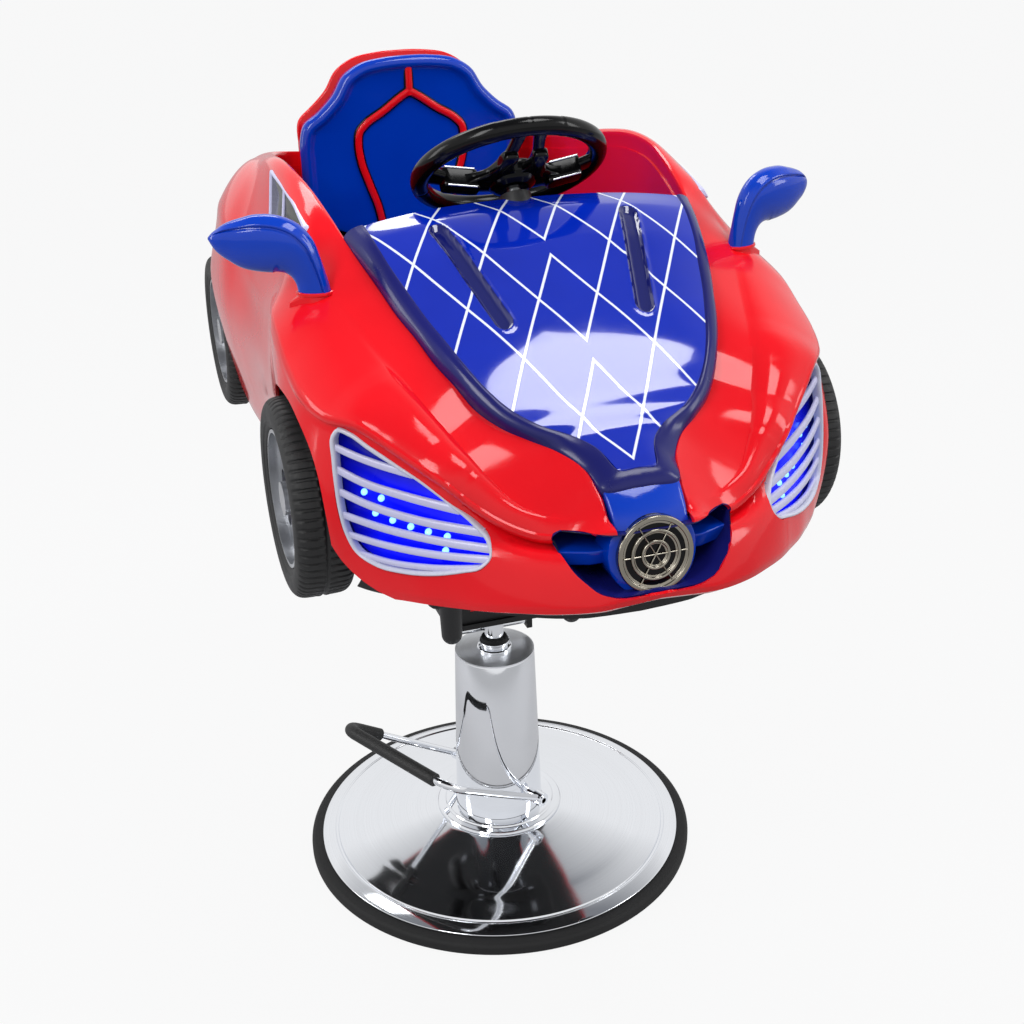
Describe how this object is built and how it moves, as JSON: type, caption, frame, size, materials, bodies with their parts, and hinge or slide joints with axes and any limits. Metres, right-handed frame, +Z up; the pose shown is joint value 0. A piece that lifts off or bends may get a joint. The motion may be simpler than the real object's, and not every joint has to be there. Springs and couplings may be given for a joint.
{
  "type": "kids car barber chair",
  "caption": "Child's barber chair: a moulded toy car with seat, steering wheel and road wheels on a hydraulic pump column with a foot pedal and a round chrome base.",
  "frame": {"origin": "centre of the round base's underside, on the axis of the pump column", "axes": "+Z up along the pump column, the car's nose along -Y, +X to the driver's left hand"},
  "size_m": [0.722, 1.0936, 1.1042],
  "materials": {
    "rubber": "matt",
    "cast_steel": "painted",
    "chrome": "polished",
    "dark_chrome": "polished",
    "steel": "turned",
    "black_steel": "satin",
    "black_plastic": "satin",
    "gloss_black": "gloss",
    "red_plastic": "gloss",
    "blue_plastic": "gloss",
    "navy_plastic": "gloss",
    "lens_blue": "clear",
    "circuit": "satin",
    "silver_plastic": "satin",
    "nickel": "polished",
    "dark_glass": "tinted",
    "mirror": "polished",
    "tyre": "matt",
    "bronze": "plain"
  },
  "bodies": {
    "base": {"base_ring": "rubber", "base_plate": "cast_steel", "base_cover": "chrome", "column_flange": "chrome", "column_shroud": "chrome", "column_cap": "chrome", "cap_screw": "steel", "foot_bolts": "steel", "pump_block": "steel", "gland_nut": "dark_chrome", "wiper_seal": "rubber", "plunger_spring": "steel"},
    "pedal": {"pedal_pivot": "chrome", "pedal_lever": "chrome", "pedal_grip": "rubber", "pump_cam": "steel"},
    "plunger": {"pump_plunger": "steel"},
    "lift": {"ram_head": "bronze", "piston_rod": "chrome"},
    "car": {"seat_plate": "black_steel", "plate_bolts": "steel", "tie_bar": "chrome", "riser_box": "black_steel", "floor_tray": "black_plastic", "floor_feet": "black_plastic", "battery_pack": "black_plastic", "stub_axles": "steel", "seat_shell": "blue_plastic", "seat_strips": "red_plastic", "seat_backing": "red_plastic", "seat_support": "black_plastic", "column_bush": "black_plastic", "dashboard": "navy_plastic", "lamp_housings": "navy_plastic", "lamp_boards": "circuit", "lamp_lenses": "lens_blue", "lamp_louvres": "silver_plastic", "body_shell": "red_plastic", "front_bumper": "red_plastic", "nose_panel": "blue_plastic", "grille_recess": "navy_plastic", "round_grille": "nickel", "window_frames": "silver_plastic", "window_panes": "dark_glass", "hood_trim": "navy_plastic", "hood_panel": "blue_plastic", "mirror_shells": "blue_plastic", "mirror_glasses": "mirror"},
    "steering": {"steering_wheel": "gloss_black", "wheel_inserts": "chrome", "steering_shaft": "steel"},
    "horn": {"horn_button": "gloss_black"},
    "front_right_wheel": {"tyre_front_right": "tyre", "rim_front_right": "silver_plastic"},
    "front_left_wheel": {"tyre_front_left": "tyre", "rim_front_left": "silver_plastic"},
    "rear_right_wheel": {"tyre_rear_right": "tyre", "rim_rear_right": "silver_plastic"},
    "rear_left_wheel": {"tyre_rear_left": "tyre", "rim_rear_left": "silver_plastic"}
  },
  "joints": [
    {"name": "seat_lift", "type": "slide", "parent": "base", "child": "lift", "axis": [0, 0, 1], "range_m": [0, 0.14]},
    {"name": "seat_swivel", "type": "hinge", "parent": "lift", "child": "car", "pos_m": [0, 0, 0.4], "axis": [0, 0, 1], "continuous": true},
    {"name": "pedal_press", "type": "hinge", "parent": "base", "child": "pedal", "pos_m": [0, 0, 0.095], "axis": [0.4517, -0.8922, 0], "range_deg": [0, 26], "stiffness_Nm_per_rad": 4, "springref_deg": -34.38},
    {"name": "plunger_stroke", "type": "slide", "parent": "base", "child": "plunger", "axis": [0, 0, 1], "range_m": [0, 0.016], "deforming": ["plunger_spring"]},
    {"name": "steering_turn", "type": "hinge", "parent": "car", "child": "steering", "pos_m": [0, -0.1154, 1.0228], "axis": [0, 0.5678, 0.8231], "continuous": true},
    {"name": "horn_press", "type": "slide", "parent": "steering", "child": "horn", "axis": [0, -0.5678, -0.8231], "range_m": [0, 0.003], "stiffness_N_per_m": 600, "springref_m": -0.002},
    {"name": "front_right_wheel_spin", "type": "hinge", "parent": "car", "child": "front_right_wheel", "pos_m": [-0.292, -0.252, 0.708], "axis": [1, 0, 0], "continuous": true},
    {"name": "front_left_wheel_spin", "type": "hinge", "parent": "car", "child": "front_left_wheel", "pos_m": [0.292, -0.252, 0.708], "axis": [1, 0, 0], "continuous": true},
    {"name": "rear_right_wheel_spin", "type": "hinge", "parent": "car", "child": "rear_right_wheel", "pos_m": [-0.267, 0.408, 0.708], "axis": [1, 0, 0], "continuous": true},
    {"name": "rear_left_wheel_spin", "type": "hinge", "parent": "car", "child": "rear_left_wheel", "pos_m": [0.267, 0.408, 0.708], "axis": [1, 0, 0], "continuous": true}
  ],
  "couplings": [
    {"joint": "plunger_stroke", "follows": "pedal_press", "m_per_rad": 0.034}
  ]
}
